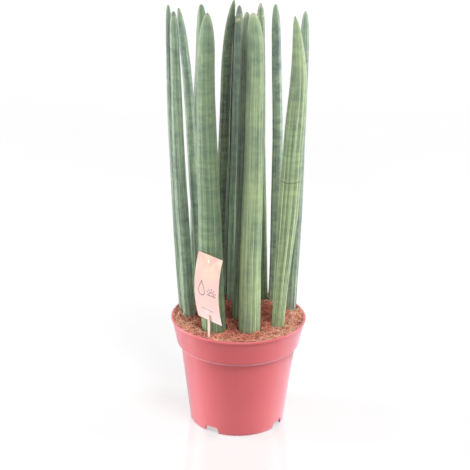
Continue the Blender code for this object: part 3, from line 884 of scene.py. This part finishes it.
def make_strands():
    """Coir fibres: curled strands strewn over the soil, some of them lying on the pot's lip."""
    rng = np.random.default_rng(77)
    points, faces, tones = [], [], []
    made = 0
    while made < STRAND_COUNT:
        if made < LIP_STRANDS:
            angle = math.radians(rng.normal(*LIP_TURN))
            radius = rng.uniform(*LIP_REACH)
            x, y = radius * math.cos(angle), radius * math.sin(angle)
            heading = angle + math.pi / 2 + rng.normal(0.0, 0.5)
            length = rng.uniform(*LIP_STRAND_LENGTH)
            arch = rng.uniform(0.0, 0.0006)
        else:
            x, y = free_place(rng, 0.0005, SOIL_EDGE - 0.0015)
            heading = rng.uniform(0.0, math.tau)
            length = rng.uniform(*STRAND_LENGTH)
            arch = STRAND_ARCH * rng.uniform() ** 2
        path = strand_path(rng, x, y, length, heading, arch)
        if path is None:
            continue
        thick = rng.uniform(*STRAND_THICK)
        radii = thick * (1 - 0.6 * np.abs(np.linspace(-1, 1, STRAND_POINTS)) ** 3)
        corners, sides = tube(path, radii, STRAND_SIDES)
        faces += [[i + len(points) for i in f] for f in sides]
        points += corners.tolist()
        # Painted shade and light by place, as on the bed
        tones += [rng.uniform(0.1, 1.0) * painted_lightness(x, y)] * len(corners)
        made += 1
    mesh = mesh_from("soil_strands", points, faces)
    add_attribute(mesh, "tone", tones)
    new_object("soil_strands", mesh, soil_material("strand_finish", *COIR_FIBRES))


# Card and stick


def slit_reach():
    """How far above and below the card's middle the stick goes through it."""
    return CARD_HEIGHT / 2 - SLIT_INSET


def card_depth(across, up):
    """How far the card stands forward of the stick's axis; near the stick it steps at each slit."""
    bow = CARD_BOW * (1 - (up / slit_reach()) ** 2) * (1 - CARD_CURL * 2 * across / CARD_WIDTH)
    beside = float(smooth_step(1 - abs(across) / SLIT_HALF_WIDTH))
    behind = float(smooth_step((abs(up) - slit_reach() + 0.0012) / 0.0024))
    stand = STICK_RADIUS + CARD_THICKNESS
    stepped = max(bow, stand) * (1 - behind) + min(bow, -stand) * behind
    return bow + (stepped - bow) * beside


def card_point(across, up, lift=0.0):
    """A place on the card in the world, from its middle, with a lift off its face."""
    yaw = math.radians(CARD_YAW)
    along = Vector((math.cos(yaw), -math.sin(yaw), 0.0))
    forward = Vector((-math.sin(yaw), -math.cos(yaw), 0.0))
    middle = Vector((STICK_FOOT.x, STICK_FOOT.y, CARD_CENTRE_Z))
    return middle + along * across + forward * (card_depth(across, up) + lift) + Vector((0.0, 0.0, up))


def rod_bmesh(radius, bottom, top, sides):
    """An upright rod round the stick's axis."""
    bm = bmesh.new()
    middle = Matrix.Translation((STICK_FOOT.x, STICK_FOOT.y, (top + bottom) / 2))
    bmesh.ops.create_cone(
        bm, cap_ends=True, segments=sides, radius1=radius, radius2=radius, depth=top - bottom, matrix=middle
    )
    return bm


def card_material():
    """Uncoated board with short fibres in it: creamy at the top, darkened at the top by painted shade and
    palest below by painted light.
    """
    n = Nodes("card_finish")
    up = n.attribute("up")
    # Painted shade at the top and painted light low down, set against how the bowed card is lit
    colour = n.mix(n.span(up, -0.02, 0.04), CARD_PINK, CARD_SHADED_TOP)
    colour = n.mix(n.span(up, -0.02, -0.042, 0.0, 0.8), colour, CARD_LIT_LOW)
    flecks = n.noise(n.scaled((300.0, 300.0, 1500.0)), 3.0, 0.7)
    colour = n.mix(n.span(flecks, 0.55, 0.75, 0.0, 0.35), colour, CARD_FLECKS)
    cloud = n.span(n.noise(n.scaled((90.0, 90.0, 90.0)), 2.0), 0.40, 0.65)
    creamy = n.math("MULTIPLY", cloud, n.span(up, 0.0, 0.034, 0.15, 0.75))
    colour = n.mix(creamy, colour, CARD_CREAM)
    n.bump(flecks, 0.00006, 0.5)
    return n.finish(colour, 0.75, 0.25)


def make_card():
    """The bowed card with a short slit above and below, where the stick goes through it."""
    columns, rows = CARD_COLUMNS + 1, CARD_ROWS + 1
    places = [
        ((i / CARD_COLUMNS - 0.5) * CARD_WIDTH, (j / CARD_ROWS - 0.5) * CARD_HEIGHT)
        for j in range(rows)
        for i in range(columns)
    ]
    faces = [
        (j * columns + i, j * columns + i + 1, (j + 1) * columns + i + 1, (j + 1) * columns + i)
        for j in range(CARD_ROWS)
        for i in range(CARD_COLUMNS)
    ]
    mesh = mesh_from("tag_card_board", [card_point(*place) for place in places], faces)
    add_attribute(mesh, "up", [up for _, up in places])
    card = scratch_object(mesh)
    solidify = card.modifiers.new("thickness", "SOLIDIFY")
    solidify.thickness = CARD_THICKNESS
    solidify.offset = 0.0
    card = scratch_object(faced_outward(evaluated_mesh(card, "tag_card_board")))
    slit = rod_bmesh(STICK_RADIUS + SLIT_CLEARANCE, SOIL_LEVEL, CARD_CENTRE_Z + CARD_HEIGHT, 32)
    mesh = cut_mesh(card, [slit], "tag_card_board")
    mesh.shade_smooth()
    mesh.set_sharp_from_angle(angle=SHARP_ANGLE)
    new_object("tag_card_board", mesh, card_material(), "tag_card")


def drop_outline(centre, width, height):
    """A water drop's outline in the card's plane."""
    outline = []
    for i in range(40):
        t = math.tau * i / 40
        across = centre[0] + width / 2 * math.sin(t) * math.sin(t / 2) ** 1.6
        outline.append((across, centre[1] + height / 2 * math.cos(t)))
    return outline


def half_sun_strokes(centre, radius):
    """A half sun over a horizon line, with five rays."""
    strokes = [[
        (centre[0] + radius * math.cos(math.pi * i / 20), centre[1] + radius * math.sin(math.pi * i / 20))
        for i in range(21)
    ]]
    strokes.append([(centre[0] - 1.7 * radius + 3.4 * radius * i / 8, centre[1]) for i in range(9)])
    for i in range(1, 6):
        angle = math.pi * i / 6
        across, up = radius * math.cos(angle), radius * math.sin(angle)
        strokes.append([(centre[0] + r * across, centre[1] + r * up) for r in (1.4, 2.0)])
    return strokes


def ribbon(outline, width, closed):
    """Points and faces of a thin flat stroke that lies on the card along an outline."""
    path = np.array(outline)
    if closed:
        ahead = np.roll(path, -1, 0) - np.roll(path, 1, 0)
    else:
        ahead = np.gradient(path, axis=0)
    ahead /= np.linalg.norm(ahead, axis=1)[:, None] + 1e-12
    side = np.stack([-ahead[:, 1], ahead[:, 0]], -1) * width / 2
    base = CARD_THICKNESS / 2
    top = base + PRINT_LIFT
    points = []
    for left, right in zip(path - side, path + side):
        for (across, up), lift in ((left, base), (right, base), (right, top), (left, top)):
            points.append(card_point(across, up, lift))
    count = len(path)
    faces = []
    for i in range(count if closed else count - 1):
        for k in range(4):
            a, b = i * 4, (i + 1) % count * 4
            faces.append((a + k, a + (k + 1) % 4, b + (k + 1) % 4, b + k))
    if not closed:
        faces.append((3, 2, 1, 0))
        faces.append(tuple(count * 4 - 4 + k for k in range(4)))
    return points, faces


def ink_material():
    """Dark ink, worn thin in places."""
    n = Nodes("print_ink")
    wear = n.span(n.noise(n.scaled((900.0, 900.0, 900.0)), 2.0), 0.4, 0.8)
    return n.finish(n.mix(wear, *INK), 0.7, 0.2)


def make_print():
    """Plain care marks printed on the card: a drop and a half sun, and a thin rule below."""
    strokes = [(drop_outline(DROP_CENTRE, *DROP_SIZE), PRINT_WIDTH, True)]
    strokes += [(stroke, PRINT_WIDTH, False) for stroke in half_sun_strokes(SUN_CENTRE, SUN_RADIUS)]
    strokes.append(([(RULE_HALF * (i / 5 - 1), RULE_UP) for i in range(11)], RULE_WIDTH, False))
    points, faces = [], []
    for outline, width, closed in strokes:
        new_points, new_faces = ribbon(outline, width, closed)
        faces += [[i + len(points) for i in f] for f in new_faces]
        points += new_points
    new_object("tag_print", mesh_from("tag_print", points, faces), ink_material())


def stick_material():
    """Bare wood with a fine straight grain."""
    n = Nodes("stick_finish")
    grain = n.span(n.noise(n.scaled((1500.0, 1500.0, 40.0)), 3.0, 0.6), 0.35, 0.65)
    n.bump(grain, 0.0001, 0.6)
    return n.finish(n.mix(grain, *BARE_WOOD), 0.65, 0.3)


def make_stick():
    """A round stick with a slightly uneven surface and rounded ends."""
    bottom = SOIL_LEVEL - BURY
    top = CARD_CENTRE_Z + slit_reach() + TIP_PAST_SLIT
    along = np.linspace(0.0, 1.0, STICK_RINGS)
    path = [(STICK_FOOT.x, STICK_FOOT.y, bottom + (top - bottom) * t) for t in along]
    from_end = np.minimum(along, 1 - along) * (top - bottom)
    round_end = np.sqrt(np.clip(from_end / 0.0009 + 0.25, 0.0, 1.0))
    radii = STICK_RADIUS * 0.97 * round_end * (1 + 0.02 * np.sin(along * 37.0))
    points, faces = tube(path, radii, STICK_SIDES)
    mesh = mesh_from("tag_stick_wood", points, faces)
    mesh.set_sharp_from_angle(angle=SHARP_ANGLE)
    new_object("tag_stick_wood", mesh, stick_material(), "tag_stick")


# Stage


def stage_piece(name, bm, material):
    """A piece of the stage, which the camera and glossy surfaces see but which lights nothing."""
    mesh = mesh_from_bmesh(name, bm)
    mesh.materials.append(material)
    piece = bpy.data.objects.new(name, mesh)
    bpy.context.scene.collection.objects.link(piece)
    piece.visible_diffuse = False


def white_material(name, grey, glow, roughness, specular):
    """An almost even grey that its own glow lifts to white."""
    n = Nodes(name)
    cloud = n.span(n.noise(n.scaled((3.0, 3.0, 3.0)), 2.0), 0.3, 0.7)
    colour = n.mix(cloud, (grey,) * 3, (grey + 0.02,) * 3)
    n.shader.inputs["Emission Color"].default_value = (1.0, 1.0, 1.0, 1.0)
    n.shader.inputs["Emission Strength"].default_value = glow
    return n.finish(colour, roughness, specular)


def make_stage():
    """A glossy pale floor, and far off a round white wall that the floor mirrors."""
    floor = bmesh.new()
    bmesh.ops.create_grid(floor, x_segments=8, y_segments=8, size=STAGE_RADIUS)
    stage_piece("floor", floor, white_material("floor_finish", FLOOR_GREY, FLOOR_GLOW, 0.12, 1.0))
    wall = bmesh.new()
    bmesh.ops.create_cone(
        wall, cap_ends=False, segments=96, radius1=STAGE_RADIUS, radius2=STAGE_RADIUS,
        depth=STAGE_RADIUS, matrix=Matrix.Translation((0.0, 0.0, STAGE_RADIUS / 2)),
    )
    stage_piece("wall", wall, white_material("wall_finish", STAGE_WALL_GREY, STAGE_WALL_GLOW, 0.9, 0.0))


def add_area_light(light):
    """One soft rectangular light, aimed at its target."""
    data = bpy.data.lights.new(light.name, "AREA")
    data.shape = "RECTANGLE"
    data.size, data.size_y = light.size
    data.energy = light.power
    lamp = bpy.data.objects.new(light.name, data)
    bpy.context.scene.collection.objects.link(lamp)
    lamp.location = light.place
    aim = Vector(light.target) - Vector(light.place)
    lamp.rotation_euler = aim.to_track_quat("-Z", "Y").to_euler()


def make_lights():
    """The soft area lights and a dim even sky."""
    for light in LIGHTS:
        add_area_light(light)
    world = bpy.data.worlds.new("studio")
    bpy.context.scene.world = world
    world.use_nodes = True
    background = world.node_tree.nodes["Background"]
    background.inputs["Color"].default_value = (1.0, 1.0, 1.0, 1.0)
    background.inputs["Strength"].default_value = WORLD_GLOW


def make_camera():
    """The camera at the photograph's angle, a little rolled, aimed at the plant's middle."""
    data = bpy.data.cameras.new("camera")
    data.sensor_width = SENSOR_WIDTH
    data.lens = CAMERA_LENS
    data.clip_end = 50.0
    data.dof.use_dof = False
    camera = bpy.data.objects.new("camera", data)
    bpy.context.scene.collection.objects.link(camera)
    pitch = math.radians(CAMERA_PITCH)
    forward = Vector((0.0, math.cos(pitch), -math.sin(pitch)))
    tilt = Matrix.Rotation(math.pi / 2 - pitch, 4, "X") @ Matrix.Rotation(math.radians(CAMERA_ROLL), 4, "Z")
    camera.matrix_world = Matrix.Translation(CAMERA_TARGET - forward * CAMERA_DISTANCE) @ tilt
    bpy.context.scene.camera = camera


def main():
    make_leaves()
    make_pot()
    make_soil_bed()
    make_crumbs()
    make_strands()
    make_card()
    make_print()
    make_stick()
    make_stage()
    make_lights()
    make_camera()
    bpy.context.scene.view_settings.view_transform = "Standard"


main()
